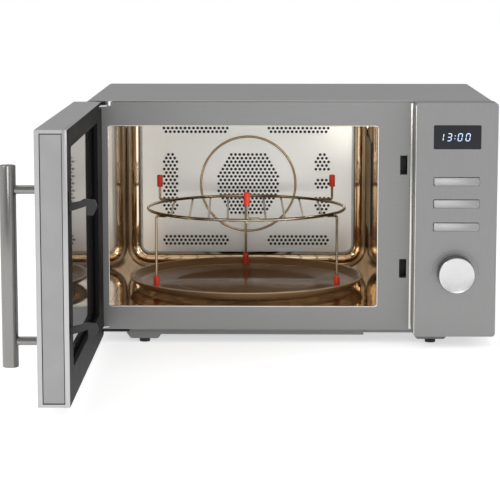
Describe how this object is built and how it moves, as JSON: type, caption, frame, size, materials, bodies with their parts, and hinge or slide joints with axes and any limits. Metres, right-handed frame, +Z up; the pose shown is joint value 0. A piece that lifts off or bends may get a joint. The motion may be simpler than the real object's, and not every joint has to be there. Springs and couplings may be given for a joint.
{
  "type": "microwave oven",
  "caption": "Countertop convection microwave oven with a side-hinged steel door, glass turntable, wire rack, push bars and a dial.",
  "frame": {"origin": "on the worktop, under the middle of the outer box with the door open at 90 degrees", "axes": "+Z up, +Y from the front towards the back, +X to the right seen from the front"},
  "size_m": [0.565, 0.8058, 0.307],
  "materials": {
    "satin_steel": "satin",
    "polished_steel": "polished",
    "zinc_sheet": "satin",
    "dark_enamel": "satin",
    "black_plastic": "satin",
    "grey_plastic": "satin",
    "red_silicone": "satin",
    "amber_glass": "glossy",
    "smoked_glass": "glossy",
    "circuit_board": "satin",
    "mica": "matte",
    "white_ceramic": "satin"
  },
  "bodies": {
    "cabinet": {"outer_cover": "satin_steel", "front_plate": "satin_steel", "control_panel": "satin_steel", "cavity_liner": "polished_steel", "cavity_floor": "polished_steel", "cavity_back_wall": "polished_steel", "turntable_well": "polished_steel", "base_plate": "zinc_sheet", "rear_panel": "zinc_sheet", "rear_cover": "zinc_sheet", "convection_chamber": "zinc_sheet", "convection_motor": "zinc_sheet", "waveguide": "zinc_sheet", "magnetron": "zinc_sheet", "transformer": "zinc_sheet", "turntable_motor": "zinc_sheet", "interlock_bracket": "zinc_sheet", "hinge_bracket_upper": "zinc_sheet", "hinge_bracket_lower": "zinc_sheet", "convection_heater": "dark_enamel", "foot_1": "black_plastic", "foot_2": "black_plastic", "foot_3": "black_plastic", "foot_4": "black_plastic", "cord_gland": "black_plastic", "door_switch_1": "black_plastic", "door_switch_2": "black_plastic", "cooling_duct": "grey_plastic", "display_window": "smoked_glass", "control_board": "circuit_board", "waveguide_cover": "mica", "cavity_lamp": "white_ceramic"},
    "door": {"door_skin": "satin_steel", "door_window": "smoked_glass", "door_core": "dark_enamel", "door_screen": "zinc_sheet", "door_inner_glass": "smoked_glass", "door_inner_frame": "dark_enamel", "door_end_cap": "grey_plastic", "handle": "polished_steel"},
    "latch": {"latch_hooks": "black_plastic"},
    "turntable": {"glass_tray": "amber_glass", "drive_coupler": "white_ceramic", "rack_frame": "polished_steel", "rack_cap_1": "red_silicone", "rack_cap_2": "red_silicone", "rack_cap_3": "red_silicone", "rack_cap_4": "red_silicone", "rack_cap_5": "red_silicone", "rack_cap_6": "red_silicone"},
    "roller_ring": {"roller_ring": "grey_plastic"},
    "roller_wheel_1": {"roller_1": "white_ceramic"},
    "roller_wheel_2": {"roller_2": "white_ceramic"},
    "roller_wheel_3": {"roller_3": "white_ceramic"},
    "convection_fan": {"convection_fan": "zinc_sheet"},
    "cooling_fan": {"cooling_fan": "grey_plastic"},
    "button_1": {"button_1": "satin_steel"},
    "button_2": {"button_2": "satin_steel"},
    "button_3": {"button_3": "satin_steel"},
    "dial": {"knob": "polished_steel"}
  },
  "joints": [
    {"name": "door_hinge", "type": "hinge", "parent": "cabinet", "child": "door", "pos_m": [-0.22403, 0.00085, 0.159], "axis": [0, 0, 1], "range_deg": [-10, 90]},
    {"name": "latch_lift", "type": "slide", "parent": "door", "child": "latch", "axis": [0, 0, 1], "range_m": [0, 0.004], "stiffness_N_per_m": 800, "springref_m": -0.003},
    {"name": "turntable_spin", "type": "hinge", "parent": "cabinet", "child": "turntable", "pos_m": [-0.03053, 0.18085, 0.0495], "axis": [0, 0, 1], "continuous": true},
    {"name": "roller_ring_spin", "type": "hinge", "parent": "cabinet", "child": "roller_ring", "pos_m": [-0.03053, 0.18085, 0.043], "axis": [0, 0, 1], "continuous": true},
    {"name": "roller_1_spin", "type": "hinge", "parent": "roller_ring", "child": "roller_wheel_1", "pos_m": [-0.03053, 0.28335, 0.043], "axis": [0, 1, 0], "continuous": true},
    {"name": "roller_2_spin", "type": "hinge", "parent": "roller_ring", "child": "roller_wheel_2", "pos_m": [-0.11929, 0.1296, 0.043], "axis": [-0.866, -0.5, 0], "continuous": true},
    {"name": "roller_3_spin", "type": "hinge", "parent": "roller_ring", "child": "roller_wheel_3", "pos_m": [0.05824, 0.1296, 0.043], "axis": [0.866, -0.5, 0], "continuous": true},
    {"name": "convection_fan_spin", "type": "hinge", "parent": "cabinet", "child": "convection_fan", "pos_m": [-0.03053, 0.37085, 0.165], "axis": [0, 1, 0], "continuous": true},
    {"name": "cooling_fan_spin", "type": "hinge", "parent": "cabinet", "child": "cooling_fan", "pos_m": [0.22148, 0.32385, 0.225], "axis": [0, 1, 0], "continuous": true},
    {"name": "button_1_press", "type": "slide", "parent": "cabinet", "child": "button_1", "axis": [0, 1, 0], "range_m": [0, 0.0015], "stiffness_N_per_m": 400, "springref_m": -0.001},
    {"name": "button_2_press", "type": "slide", "parent": "cabinet", "child": "button_2", "axis": [0, 1, 0], "range_m": [0, 0.0015], "stiffness_N_per_m": 400, "springref_m": -0.001},
    {"name": "button_3_press", "type": "slide", "parent": "cabinet", "child": "button_3", "axis": [0, 1, 0], "range_m": [0, 0.0015], "stiffness_N_per_m": 400, "springref_m": -0.001},
    {"name": "dial_turn", "type": "hinge", "parent": "cabinet", "child": "dial", "pos_m": [0.23217, -0.02715, 0.0956], "axis": [0, -1, 0], "continuous": true}
  ],
  "couplings": [
    {"joint": "roller_ring_spin", "follows": "turntable_spin", "ratio": 0.5},
    {"joint": "roller_1_spin", "follows": "turntable_spin", "ratio": -8.1349},
    {"joint": "roller_2_spin", "follows": "turntable_spin", "ratio": -8.1349},
    {"joint": "roller_3_spin", "follows": "turntable_spin", "ratio": -8.1349}
  ]
}
